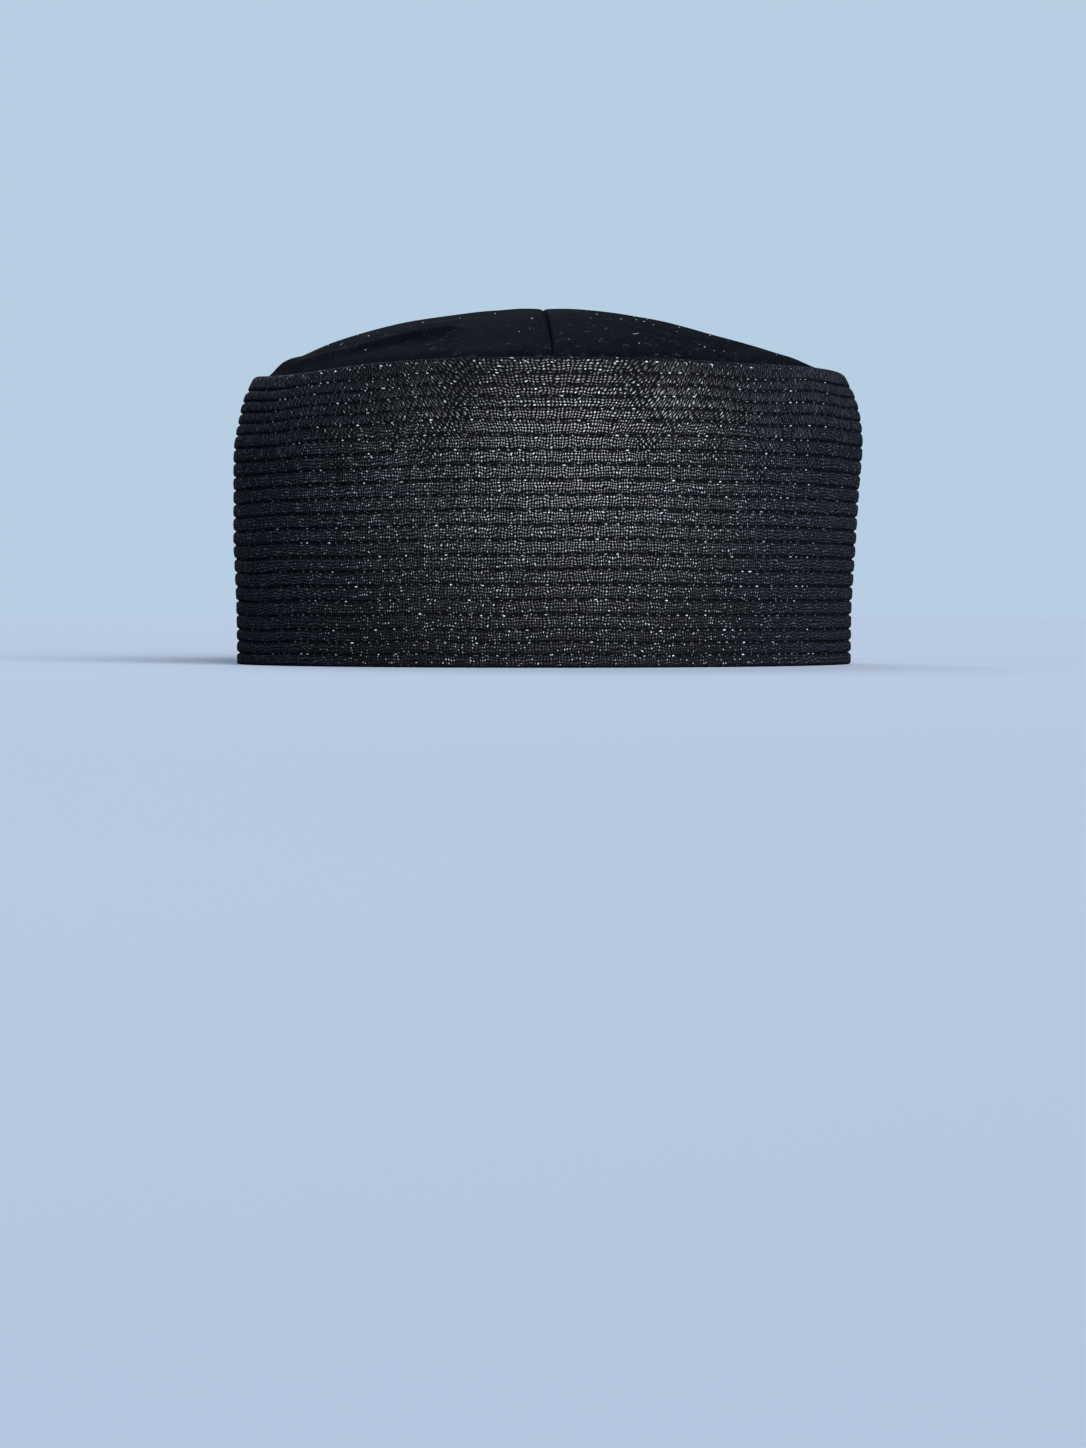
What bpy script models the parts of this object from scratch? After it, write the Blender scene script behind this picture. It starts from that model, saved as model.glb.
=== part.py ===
"""A kufi cap: a firm stitched band, and a soft crown of four gores sewn inside its top edge.

Metres, +Z up. The cap rests on its rim at z = 0, centred on the origin, and its front faces -Y.
Azimuths are degrees round the cap from its front, positive towards +X.
"""

import math
from typing import NamedTuple

import bmesh
import bpy
from mathutils import Vector

# Driving sizes of the band
CAP_WIDTH = 0.1788  # outside of the band at its widest, side to side
CAP_LENGTH = 0.2060  # the same, front to back
BAND_HEIGHT = 0.0819
BAND_WALL = 0.0036
TOP_EDGE_ROUND = 0.0010
RIM_ROUND = 0.0008
GROOVE_DEPTH = 0.0007

# Driving sizes of the crown
CROWN_RISE = 0.0186  # from the band's top edge up to the crown's button point
CROWN_CLOTH = 0.0016
CROWN_TUCK = 0.0120  # how far the crown reaches down inside the band
SEAT_GAP = 0.0005  # between the tuck and the inside of the band
SEAM_GAP = 0.0003  # between two gores
SEAM_DIP = 0.0007
SEAM_ROLL = 0.0035  # how far from a seam the cloth starts to turn down into it

# How finely the forms are cut
ROUND_STEPS = 56
CROWN_ROWS = 9
TUCK_ROWS = 3
FACING_ROWS = 6
RIB_SHOULDERS = (0.27, 0.73)  # where a rib's flat top starts and ends, as shares of its height

UNIT_FORM = 1.0  # radius of the round form that profiles are turned on before they are fitted
ON_SEAM = 1e-5  # stands for zero where a point has to stay on its own side of a seam


class Section(NamedTuple):
    """The band's outside at one height, as shares of the cap's half width and half length."""

    height: float
    left: float
    right: float
    front: float
    back: float


class StitchZone(NamedTuple):
    """Rows of stitching a same distance apart, over a share of the band's height."""

    ribs: int
    share: float


class EdgeDip(NamedTuple):
    """A place where the band's top edge sags, by a share of the band's height."""

    azimuth: float
    spread: float
    drop: float


class Meridian(NamedTuple):
    """The crown's height at one radius, as shares of its rise, in four directions."""

    radius: float
    left: float
    right: float
    front: float
    back: float


class Fold(NamedTuple):
    """A soft ridge, or with a negative lift a dent, between two points on the crown."""

    from_azimuth: float
    from_radius: float
    to_azimuth: float
    to_radius: float
    lift: float  # share of the crown's rise
    width: float  # share of the crown's radius


class Gore(NamedTuple):
    """One gore of the crown, which reaches a quarter of the way round from its first seam."""

    name: str
    from_azimuth: float


BAND_SECTIONS = (
    Section(height=0.00, left=0.992, right=0.965, front=0.975, back=0.975),
    Section(height=0.20, left=0.994, right=0.968, front=0.980, back=0.980),
    Section(height=0.42, left=1.000, right=0.980, front=0.990, back=0.990),
    Section(height=0.60, left=1.000, right=0.990, front=0.997, back=0.997),
    Section(height=0.75, left=0.999, right=1.000, front=1.000, back=1.000),
    Section(height=0.84, left=0.986, right=0.994, front=0.991, back=0.991),
    Section(height=0.92, left=0.970, right=0.976, front=0.974, back=0.974),
    Section(height=1.00, left=0.936, right=0.940, front=0.944, back=0.944),
)

STITCH_ZONES = (
    StitchZone(ribs=3, share=0.121),
    StitchZone(ribs=14, share=0.674),
    StitchZone(ribs=4, share=0.154),
    StitchZone(ribs=1, share=0.051),
)

EDGE_DIPS = (
    EdgeDip(azimuth=-58.0, spread=24.0, drop=0.027),
    EdgeDip(azimuth=40.0, spread=14.0, drop=0.006),
)

CROWN_MERIDIANS = (
    Meridian(radius=0.000, left=1.000, right=1.000, front=1.000, back=1.000),
    Meridian(radius=0.250, left=0.925, right=0.925, front=0.955, back=0.935),
    Meridian(radius=0.430, left=0.830, right=0.790, front=0.850, back=0.815),
    Meridian(radius=0.600, left=0.690, right=0.590, front=0.690, back=0.660),
    Meridian(radius=0.770, left=0.465, right=0.362, front=0.440, back=0.430),
    Meridian(radius=0.880, left=0.265, right=0.205, front=0.250, back=0.245),
    Meridian(radius=0.950, left=0.140, right=0.100, front=0.120, back=0.125),
    Meridian(radius=1.000, left=0.000, right=0.000, front=0.000, back=0.000),
)

CROWN_FOLDS = (
    Fold(from_azimuth=-82.0, from_radius=0.950, to_azimuth=-36.0, to_radius=0.800, lift=0.075, width=0.060),
    Fold(from_azimuth=-66.0, from_radius=0.880, to_azimuth=-30.0, to_radius=0.680, lift=-0.035, width=0.060),
    Fold(from_azimuth=44.0, from_radius=0.900, to_azimuth=62.0, to_radius=0.760, lift=-0.040, width=0.070),
)


GORES = (
    Gore(name="gore_front_left", from_azimuth=-90.0),
    Gore(name="gore_front_right", from_azimuth=0.0),
    Gore(name="gore_back_right", from_azimuth=90.0),
    Gore(name="gore_back_left", from_azimuth=-180.0),
)


def clear_scene():
    """Empties the scene that Blender starts with."""
    for obj in list(bpy.data.objects):
        bpy.data.objects.remove(obj)


def cloth_material(name, colour, roughness):
    """A dull cloth finish."""
    material = bpy.data.materials.new(name)
    material.use_nodes = True
    shader = material.node_tree.nodes["Principled BSDF"]
    shader.inputs["Base Color"].default_value = (*colour, 1.0)
    shader.inputs["Roughness"].default_value = roughness
    shader.inputs["Metallic"].default_value = 0.0
    return material


def bell(distance, spread):
    """1 at no distance, and falling smoothly to 0 a few spreads away."""
    return math.exp(-((distance / spread) ** 2))


def table_value(rows, place, column):
    """A column of a table, read between its rows along a smooth curve. The first column is the place."""
    places = [row[0] for row in rows]
    values = [getattr(row, column) for row in rows]
    place = min(max(place, places[0]), places[-1])
    after = next(i for i, known in enumerate(places) if known >= place)
    if after == 0:
        return values[0]

    def slope(i):
        low, high = max(i - 1, 0), min(i + 1, len(rows) - 1)
        return (values[high] - values[low]) / (places[high] - places[low])

    before = after - 1
    span = places[after] - places[before]
    t = (place - places[before]) / span
    start, end = slope(before) * span, slope(after) * span
    return (
        values[before] * (2 * t**3 - 3 * t**2 + 1)
        + start * (t**3 - 2 * t**2 + t)
        + values[after] * (3 * t**2 - 2 * t**3)
        + end * (t**3 - t**2)
    )


def side_of(azimuth):
    """The table columns, across and along, that an azimuth lies between."""
    across = "left" if math.sin(azimuth) < 0 else "right"
    along = "front" if math.cos(azimuth) > 0 else "back"
    return across, along


def band_half_axes(height, azimuth):
    """Half the band's outside width and length at a height share, on the azimuth's side."""
    across, along = side_of(azimuth)
    return (
        CAP_WIDTH / 2 * table_value(BAND_SECTIONS, height, across),
        CAP_LENGTH / 2 * table_value(BAND_SECTIONS, height, along),
    )


def edge_drop(azimuth):
    """How far the band's top edge sags at an azimuth."""
    turned = math.degrees(azimuth)
    drop = sum(dip.drop * bell(turned - dip.azimuth, dip.spread) for dip in EDGE_DIPS)
    return BAND_HEIGHT * drop


def band_point(inset, height, azimuth):
    """The point inset from the band's outside at a height share and an azimuth."""
    half_width, half_length = band_half_axes(height, azimuth)
    return Vector((
        (half_width - inset) * math.sin(azimuth),
        -(half_length - inset) * math.cos(azimuth),
        BAND_HEIGHT * height - edge_drop(azimuth) * height**2,
    ))


def groove_heights():
    """The height shares of the stitched grooves, from the rim up, with the rim and the top edge at the ends."""
    heights = [0.0]
    for zone in STITCH_ZONES:
        start = heights[-1]
        heights += [start + zone.share * (i + 1) / zone.ribs for i in range(zone.ribs)]
    return [height / heights[-1] for height in heights]


def band_profile():
    """The band's closed section, as (inset, height share) pairs: up its ribs, over its top and down its facing."""
    heights = groove_heights()
    top_round, rim_round = TOP_EDGE_ROUND / BAND_HEIGHT, RIM_ROUND / BAND_HEIGHT
    profile = [(RIM_ROUND, 0.0)]
    for index, (low, high) in enumerate(zip(heights, heights[1:])):
        if index:
            profile.append((GROOVE_DEPTH, low))
        first, last = index == 0, index == len(heights) - 2
        shoulders = [low + (high - low) * share for share in RIB_SHOULDERS]
        if first:
            shoulders[0] = rim_round
        if last:
            shoulders[1] = 1.0 - top_round
        profile += [(0.0, height) for height in shoulders]
    profile += [(TOP_EDGE_ROUND, 1.0), (BAND_WALL - TOP_EDGE_ROUND / 2, 1.0)]
    seat_low = 1.0 - CROWN_TUCK / BAND_HEIGHT
    facing = [1.0 - top_round / 2]
    facing += [1.0 - (1.0 - seat_low) * (i + 1) / TUCK_ROWS for i in range(TUCK_ROWS)]
    facing += [seat_low + (rim_round - seat_low) * (i + 1) / FACING_ROWS for i in range(FACING_ROWS)]
    profile += [(BAND_WALL, height) for height in facing]
    profile.append((BAND_WALL - RIM_ROUND, 0.0))
    return profile


def wire(mesh, points, closed):
    """Adds a chain of edges through points to a bmesh, and returns its vertices and edges."""
    vertices = [mesh.verts.new(point) for point in points]
    pairs = list(zip(vertices, vertices[1:]))
    if closed:
        pairs.append((vertices[-1], vertices[0]))
    return vertices + [mesh.edges.new(pair) for pair in pairs]


def finished_object(name, mesh, material, collection):
    """Turns a bmesh into a smooth object with its own material, and links it."""
    data = bpy.data.meshes.new(name)
    mesh.to_mesh(data)
    mesh.free()
    data.shade_smooth()
    data.materials.append(material)
    obj = bpy.data.objects.new(name, data)
    collection.objects.link(obj)
    return obj


def build_band(material, collection):
    """The stitched band: its section turned round a round form, and then fitted to the oval head."""
    mesh = bmesh.new()
    section = [(UNIT_FORM - inset, 0.0, height) for inset, height in band_profile()]
    bmesh.ops.spin(
        mesh,
        geom=wire(mesh, section, closed=True),
        axis=(0, 0, 1),
        cent=(0, 0, 0),
        angle=math.tau,
        steps=ROUND_STEPS,
        use_merge=True,
    )
    for vertex in mesh.verts:
        inset = UNIT_FORM - math.hypot(vertex.co.x, vertex.co.y)
        azimuth = math.atan2(vertex.co.x, -vertex.co.y)
        vertex.co = band_point(inset, vertex.co.z, azimuth)
    bmesh.ops.recalc_face_normals(mesh, faces=mesh.faces)
    return finished_object("stitched_band", mesh, material, collection)


def fold_lift(radius, azimuth):
    """How far the crown's folds and dents raise it at a radius share and an azimuth."""
    place = Vector((radius * math.sin(azimuth), radius * math.cos(azimuth)))
    lift = 0.0
    for fold in CROWN_FOLDS:
        ends = [
            Vector((share * math.sin(math.radians(turn)), share * math.cos(math.radians(turn))))
            for turn, share in ((fold.from_azimuth, fold.from_radius), (fold.to_azimuth, fold.to_radius))
        ]
        run = ends[1] - ends[0]
        along = min(max((place - ends[0]).dot(run) / run.length_squared, 0.0), 1.0)
        lift += fold.lift * bell((place - ends[0] - run * along).length, fold.width)
    return CROWN_RISE * lift


def crown_height(radius, azimuth):
    """The crown's height over the band's top edge at a radius share, before seams and folds."""
    across, along = side_of(azimuth)
    side = math.sin(azimuth) ** 2
    return CROWN_RISE * (
        side * table_value(CROWN_MERIDIANS, radius, across)
        + (1.0 - side) * table_value(CROWN_MERIDIANS, radius, along)
    )


def seam_drop(point):
    """How far the cloth turns down into the nearest seam, which runs along the X or the Y axis."""
    nearest = min(abs(point.x), abs(point.y))
    from_middle = math.hypot(point.x, point.y)
    return SEAM_DIP * bell(nearest, SEAM_ROLL) * (1.0 - bell(from_middle, 2 * SEAM_ROLL))


def clear_of_seams(point):
    """Draws a point of the crown off the two seam planes by half the seam's gap, and keeps the crown's edge."""
    half = SEAM_GAP / 2
    shrink = (1.0 - half / (CAP_WIDTH / 2), 1.0 - half / (CAP_LENGTH / 2))
    return Vector((
        math.copysign(half + abs(point.x) * shrink[0], point.x),
        math.copysign(half + abs(point.y) * shrink[1], point.y),
        point.z,
    ))


def crown_point(radius, azimuth):
    """The crown's outside. Past a radius share of 1 it turns down, and runs inside the band for the tuck."""
    inset = BAND_WALL + SEAT_GAP
    if radius > 1.0:
        down = (radius - 1.0) * CROWN_TUCK / BAND_HEIGHT
        return band_point(inset, 1.0 - down, azimuth)
    edge = band_point(inset, 1.0, azimuth)
    point = Vector((edge.x * radius, edge.y * radius, BAND_HEIGHT - edge_drop(azimuth) * radius**8))
    fade = 1.0 - radius**12
    point.z += crown_height(radius, azimuth) + fold_lift(radius, azimuth) * fade
    point.z -= seam_drop(point) * fade
    return point


def gore_radii():
    """Radius shares of a gore's rows, from the crown's middle to the lower edge of its tuck."""
    dome = [math.sin(math.pi / 2 * i / CROWN_ROWS) for i in range(CROWN_ROWS + 1)]
    tuck = [1.0 + (i + 1) / TUCK_ROWS for i in range(TUCK_ROWS)]
    return dome + tuck


def gore_columns():
    """Shares of the way across a gore from seam to seam. The columns beside the seams are drawn in to them."""
    steps = ROUND_STEPS // len(GORES)
    quarter = math.pi * (CAP_WIDTH + CAP_LENGTH) / 4 / len(GORES)
    beside = SEAM_ROLL / quarter
    return [ON_SEAM, beside] + [i / steps for i in range(2, steps - 1)] + [1.0 - beside, 1.0 - ON_SEAM]


def build_gore(gore, material, collection):
    """One gore: a flat sector, raised to the crown's form and given the cloth's thickness inwards."""
    mesh = bmesh.new()
    begin = math.radians(gore.from_azimuth)
    sector = math.tau / len(GORES)
    columns = gore_columns()
    start = Vector((math.sin(begin), -math.cos(begin), 0.0))
    bmesh.ops.spin(
        mesh,
        geom=wire(mesh, [start * radius for radius in gore_radii()], closed=False),
        axis=(0, 0, 1),
        cent=(0, 0, 0),
        angle=sector,
        steps=len(columns) - 1,
    )
    bmesh.ops.remove_doubles(mesh, verts=mesh.verts, dist=1e-5)
    for vertex in mesh.verts:
        radius = max(vertex.co.length, ON_SEAM)
        turned = math.radians(gore.from_azimuth) if radius == ON_SEAM else math.atan2(vertex.co.x, -vertex.co.y)
        share = math.remainder(turned - begin, math.tau) / sector
        column = columns[round(share * (len(columns) - 1))]
        vertex.co = clear_of_seams(crown_point(radius, begin + sector * column))
    mesh.normal_update()
    if sum(face.normal.z * face.calc_area() for face in mesh.faces) < 0:
        bmesh.ops.reverse_faces(mesh, faces=mesh.faces)
    obj = finished_object(gore.name, mesh, material, collection)
    thickness = obj.modifiers.new("cloth thickness", "SOLIDIFY")
    thickness.thickness = CROWN_CLOTH
    thickness.offset = -1.0
    thickness.use_even_offset = True
    return obj


def main():
    """Builds the cap in its own collection."""
    clear_scene()
    collection = bpy.data.collections.new("kufi_cap")
    bpy.context.scene.collection.children.link(collection)
    band_cloth = cloth_material("band_cloth", (0.022, 0.023, 0.028), 0.55)
    crown_cloth = cloth_material("crown_cloth", (0.010, 0.013, 0.019), 0.75)
    build_band(band_cloth, collection)
    for gore in GORES:
        build_gore(gore, crown_cloth, collection)


main()
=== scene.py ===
"""Looks of a black kufi cap: a firm band stitched in rows, and a soft crown of four sewn gores.

Metres, +Z up. The cap stands on its rim at z = 0 and its front faces -Y. An azimuth is an angle round the
cap from its front, in radians unless a note says degrees, and is positive towards +X.
"""

import logging
import math
from dataclasses import dataclass
from enum import Enum
from typing import Any, NamedTuple, Sequence

import bmesh
import bpy
import numpy as np
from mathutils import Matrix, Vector

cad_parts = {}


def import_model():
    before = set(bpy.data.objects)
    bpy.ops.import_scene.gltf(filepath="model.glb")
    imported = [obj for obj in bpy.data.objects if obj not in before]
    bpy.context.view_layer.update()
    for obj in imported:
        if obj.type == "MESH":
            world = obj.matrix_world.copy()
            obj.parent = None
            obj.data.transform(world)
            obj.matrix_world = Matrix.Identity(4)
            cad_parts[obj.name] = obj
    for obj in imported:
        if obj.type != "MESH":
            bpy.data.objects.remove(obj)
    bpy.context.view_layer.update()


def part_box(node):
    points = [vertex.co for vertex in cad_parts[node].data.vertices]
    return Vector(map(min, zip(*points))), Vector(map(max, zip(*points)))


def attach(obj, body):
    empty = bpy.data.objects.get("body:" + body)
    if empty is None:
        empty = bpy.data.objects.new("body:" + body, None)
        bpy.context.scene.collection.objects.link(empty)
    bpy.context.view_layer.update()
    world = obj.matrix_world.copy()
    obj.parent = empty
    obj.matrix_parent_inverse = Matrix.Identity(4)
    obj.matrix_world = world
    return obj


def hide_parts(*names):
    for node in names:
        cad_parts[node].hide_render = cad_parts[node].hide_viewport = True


LOG = logging.getLogger("kufi_cap")
MM = 0.001
STITCHES_PER_ROW = 195
WEAVE_MAP = "weave"  # UV map in metres along and across the cloth
ROWS_MAP = "rows"  # UV map that counts stitches along a row, and rows up the band

Colour = tuple[float, float, float, float]
Socket = bpy.types.NodeSocket


class Section(NamedTuple):
    """The band's outside at one height, as shares of the cap's half width and half length."""

    height: float
    left: float
    right: float
    front: float
    back: float


class StitchZone(NamedTuple):
    """Ribs of a same height between rows of stitching, over a share of the band's height."""

    ribs: int
    share: float


class EdgeDip(NamedTuple):
    """A sag of the band's top edge, by a share of the band's height. Angles are in degrees."""

    azimuth: float
    spread: float
    drop: float


class SlackRib(NamedTuple):
    """A place where a rib of the band stands out, slack. Angles are in degrees, lengths in millimetres."""

    azimuth: float
    spread: float
    height: float  # share of the band's height
    width: float
    lift: float


class Meridian(NamedTuple):
    """The crown's height at one radius, as shares of its rise, in four directions."""

    radius: float
    left: float
    right: float
    front: float
    back: float


class Fold(NamedTuple):
    """A soft ridge, or with a negative lift a dent, along a line of (azimuth in degrees, radius share)."""

    line: tuple[tuple[float, float], ...]
    lift: float  # millimetres
    width: float  # millimetres


BAND_SECTIONS = (
    Section(height=0.00, left=0.992, right=0.965, front=0.975, back=0.975),
    Section(height=0.20, left=0.994, right=0.968, front=0.980, back=0.980),
    Section(height=0.42, left=1.000, right=0.980, front=0.990, back=0.990),
    Section(height=0.60, left=1.000, right=0.990, front=0.997, back=0.997),
    Section(height=0.75, left=0.999, right=1.000, front=1.000, back=1.000),
    Section(height=0.84, left=0.986, right=0.994, front=0.991, back=0.991),
    Section(height=0.92, left=0.970, right=0.976, front=0.974, back=0.974),
    Section(height=1.00, left=0.936, right=0.940, front=0.944, back=0.944),
)

STITCH_ZONES = (
    StitchZone(ribs=3, share=0.121),
    StitchZone(ribs=14, share=0.674),
    StitchZone(ribs=4, share=0.154),
    StitchZone(ribs=1, share=0.051),
)

EDGE_DIPS = (
    EdgeDip(azimuth=-58.0, spread=24.0, drop=0.027),
    EdgeDip(azimuth=40.0, spread=14.0, drop=0.006),
)

SLACK_RIBS = (
    SlackRib(azimuth=60.0, spread=15.0, height=0.763, width=1.5, lift=0.40),
    SlackRib(azimuth=-68.0, spread=5.0, height=0.745, width=1.6, lift=0.30),
)

CROWN_MERIDIANS = (
    Meridian(radius=0.000, left=1.000, right=1.000, front=1.000, back=1.000),
    Meridian(radius=0.250, left=0.925, right=0.925, front=0.955, back=0.935),
    Meridian(radius=0.430, left=0.830, right=0.790, front=0.850, back=0.815),
    Meridian(radius=0.600, left=0.690, right=0.590, front=0.690, back=0.660),
    Meridian(radius=0.770, left=0.465, right=0.362, front=0.440, back=0.430),
    Meridian(radius=0.880, left=0.265, right=0.205, front=0.250, back=0.245),
    Meridian(radius=0.950, left=0.140, right=0.100, front=0.120, back=0.125),
    Meridian(radius=1.000, left=0.000, right=0.000, front=0.000, back=0.000),
)

SEAM_PLACES = (-1.0, -0.82, -0.55, -0.2, 0.4, 1.0)  # along the cap's middle, as shares of half its length
SEAM_SWAY = tuple(sway * MM for sway in (1.5, 1.3, 0.2, -1.4, -0.9, 0.5))  # how far right they stray there

CROWN_FOLDS = (
    Fold(line=((-82, 0.95), (-64, 0.93), (-50, 0.88), (-38, 0.81), (-28, 0.74)), lift=2.0, width=3.3),
    Fold(line=((-70, 0.90), (-50, 0.81), (-32, 0.68)), lift=-0.7, width=5.0),
    Fold(line=((-48, 0.62), (-30, 0.52), (-16, 0.46)), lift=-0.35, width=4.0),
    Fold(line=((44, 0.90), (54, 0.83), (62, 0.76)), lift=-0.8, width=5.0),
    Fold(line=((58, 0.93), (72, 0.90)), lift=0.5, width=3.5),
    Fold(line=((140, 0.90), (118, 0.78)), lift=-0.7, width=6.0),
    Fold(line=((-150, 0.93), (-128, 0.84), (-112, 0.72)), lift=0.8, width=4.5),
)


def linear(hex_colour: str) -> Colour:
    """Turns an sRGB colour into the linear one that a shader takes.

    Args:
        hex_colour: The colour as #RRGGBB.

    Returns:
        Linear red, green and blue, with an alpha of 1.
    """
    parts = [int(hex_colour[i : i + 2], 16) / 255 for i in (1, 3, 5)]
    red, green, blue = (p / 12.92 if p <= 0.04045 else ((p + 0.055) / 1.055) ** 2.4 for p in parts)
    return (red, green, blue, 1.0)


def add_node(
    tree: bpy.types.NodeTree, kind: str, settings: dict[str, Any], inputs: dict[Any, Any]
) -> bpy.types.Node:
    """Adds a node to a tree with its settings and links.

    Args:
        tree: The node tree.
        kind: Blender's name for the kind of node.
        settings: The node's own settings, by name.
        inputs: By socket name or number, another node's output to link, or a value to set.

    Returns:
        The new node.
    """
    node = tree.nodes.new(kind)
    for name, value in settings.items():
        setattr(node, name, value)
    for name, value in inputs.items():
        if isinstance(value, Socket):
            tree.links.new(value, node.inputs[name])
        else:
            node.inputs[name].default_value = value
    return node


class Ramp(NamedTuple):
    """How one number goes from start to end while another goes from low to high.

    Each of the four is a number, or another node's output that gives it.
    """

    low: Any = 0.0
    high: Any = 1.0
    start: Any = 0.0
    end: Any = 1.0


class Clouds(NamedTuple):
    """A soft random pattern: how many clouds fill a unit, and how fine, rough and twisted they are."""

    scale: float
    detail: float = 2.0
    roughness: float = 0.5
    distortion: float = 0.0
    dimensions: str = "3D"


class MaterialNodes:
    """A new material. Each method adds a node to it and gives that node's output."""

    def __init__(self, name: str) -> None:
        """Starts an empty material of that name."""
        self.material = bpy.data.materials.new(name)
        self.material.use_nodes = True
        self.tree = self.material.node_tree
        self.tree.nodes.clear()

    def uv(self, name: str) -> Socket:
        """Reads a UV map."""
        return add_node(self.tree, "ShaderNodeUVMap", {"uv_map": name}, {}).outputs["UV"]

    def place(self) -> Socket:
        """Reads the place in the object, in metres."""
        return add_node(self.tree, "ShaderNodeTexCoord", {}, {}).outputs["Object"]

    def split(self, vector: Socket) -> tuple[Socket, Socket]:
        """Splits off a vector's first two numbers."""
        outputs = add_node(self.tree, "ShaderNodeSeparateXYZ", {}, {0: vector}).outputs
        return outputs[0], outputs[1]

    def join(self, x: Socket, y: Socket) -> Socket:
        """Joins two numbers into a vector."""
        return add_node(self.tree, "ShaderNodeCombineXYZ", {}, {0: x, 1: y}).outputs[0]

    def math(self, operation: str, *values: Any) -> Socket:
        """Computes with numbers."""
        inputs = dict(enumerate(values))
        return add_node(self.tree, "ShaderNodeMath", {"operation": operation}, inputs).outputs[0]

    def vectors(self, operation: str, inputs: dict[Any, Any]) -> Socket:
        """Computes with vectors."""
        return add_node(self.tree, "ShaderNodeVectorMath", {"operation": operation}, inputs).outputs[0]

    def follow(self, value: Socket, ramp: Ramp, kind: str = "LINEAR") -> Socket:
        """Lets a number follow another along a straight ramp."""
        inputs = dict(zip(("Value", "From Min", "From Max", "To Min", "To Max"), (value, *ramp)))
        return add_node(self.tree, "ShaderNodeMapRange", {"interpolation_type": kind}, inputs).outputs[0]

    def ease(self, value: Socket, ramp: Ramp) -> Socket:
        """Lets a number follow another along a ramp that starts and ends softly."""
        return self.follow(value, ramp, "SMOOTHSTEP")

    def clouds(self, place: Socket, look: Clouds, output: str = "Fac") -> Socket:
        """Reads a random pattern at a place, as a number between 0 and 1 or as a colour."""
        inputs = dict(zip(("Vector", "Scale", "Detail", "Roughness", "Distortion"), (place, *look)))
        settings = {"noise_dimensions": look.dimensions}
        return add_node(self.tree, "ShaderNodeTexNoise", settings, inputs).outputs[output]

    def mix(self, share: Socket, first: Any, second: Any) -> Socket:
        """Mixes two colours.

        Args:
            share: How much of the second colour there is.
            first: One colour, as #RRGGBB or as another node's output.
            second: The other, in the same way.

        Returns:
            The mixed colour.
        """
        first, second = (linear(colour) if isinstance(colour, str) else colour for colour in (first, second))
        inputs = {"Factor": share, "A": first, "B": second}
        return add_node(self.tree, "ShaderNodeMix", {"data_type": "RGBA"}, inputs).outputs["Result"]

    def bump(self, height: Socket, distance: float, strength: float) -> Socket:
        """Tilts the surface, for the light alone, as a height from 0 to 1 rises and falls."""
        inputs = {"Height": height, "Distance": distance, "Strength": strength}
        return add_node(self.tree, "ShaderNodeBump", {}, inputs).outputs[0]

    def surface(self, inputs: dict[str, Any]) -> bpy.types.Material:
        """Adds the surface shader, which completes the material."""
        shader = add_node(self.tree, "ShaderNodeBsdfPrincipled", {}, inputs)
        add_node(self.tree, "ShaderNodeOutputMaterial", {}, {"Surface": shader.outputs[0]})
        return self.material


def read_table(rows: Sequence[NamedTuple], column: str, place: np.ndarray) -> np.ndarray:
    """Reads a column of a table between its rows, along a smooth curve.

    Args:
        rows: The table, whose first column is the place.
        column: The name of the column to read.
        place: Where to read it.

    Returns:
        The column's value at each place.
    """
    places = np.array([row[0] for row in rows])
    values = np.array([getattr(row, column) for row in rows])
    slopes = np.gradient(values, places, edge_order=1)
    slopes[1:-1] = (values[2:] - values[:-2]) / (places[2:] - places[:-2])
    place = np.clip(place, places[0], places[-1])
    low = np.clip(np.searchsorted(places, place, side="right") - 1, 0, len(places) - 2)
    span = places[low + 1] - places[low]
    t = (place - places[low]) / span
    return (
        values[low] * (2 * t**3 - 3 * t**2 + 1)
        + slopes[low] * span * (t**3 - 2 * t**2 + t)
        + values[low + 1] * (3 * t**2 - 2 * t**3)
        + slopes[low + 1] * span * (t**3 - t**2)
    )


def read_sides(
    rows: Sequence[NamedTuple], place: np.ndarray, azimuth: np.ndarray
) -> tuple[np.ndarray, np.ndarray]:
    """Reads a table of four sides on the two that each azimuth lies between.

    Args:
        rows: The table, with a column for each side.
        place: Where to read it.
        azimuth: Angles round the cap.

    Returns:
        The left or right column's values, and the front or back one's.
    """
    left, right, front, back = (read_table(rows, side, place) for side in ("left", "right", "front", "back"))
    return np.where(np.sin(azimuth) < 0, left, right), np.where(np.cos(azimuth) > 0, front, back)


def bell(distance: np.ndarray, spread: float) -> np.ndarray:
    """1 at no distance, and falling smoothly to 0 a few spreads away."""
    return np.exp(-((distance / spread) ** 2))


def in_degrees(azimuth: np.ndarray) -> np.ndarray:
    """Azimuths in degrees, from -180 to 180."""
    return np.degrees(np.arctan2(np.sin(azimuth), np.cos(azimuth)))


def unit(vectors: np.ndarray) -> np.ndarray:
    """Vectors of a length of 1 in the same directions, one row each."""
    return vectors / np.linalg.norm(vectors, axis=1, keepdims=True)


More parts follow.
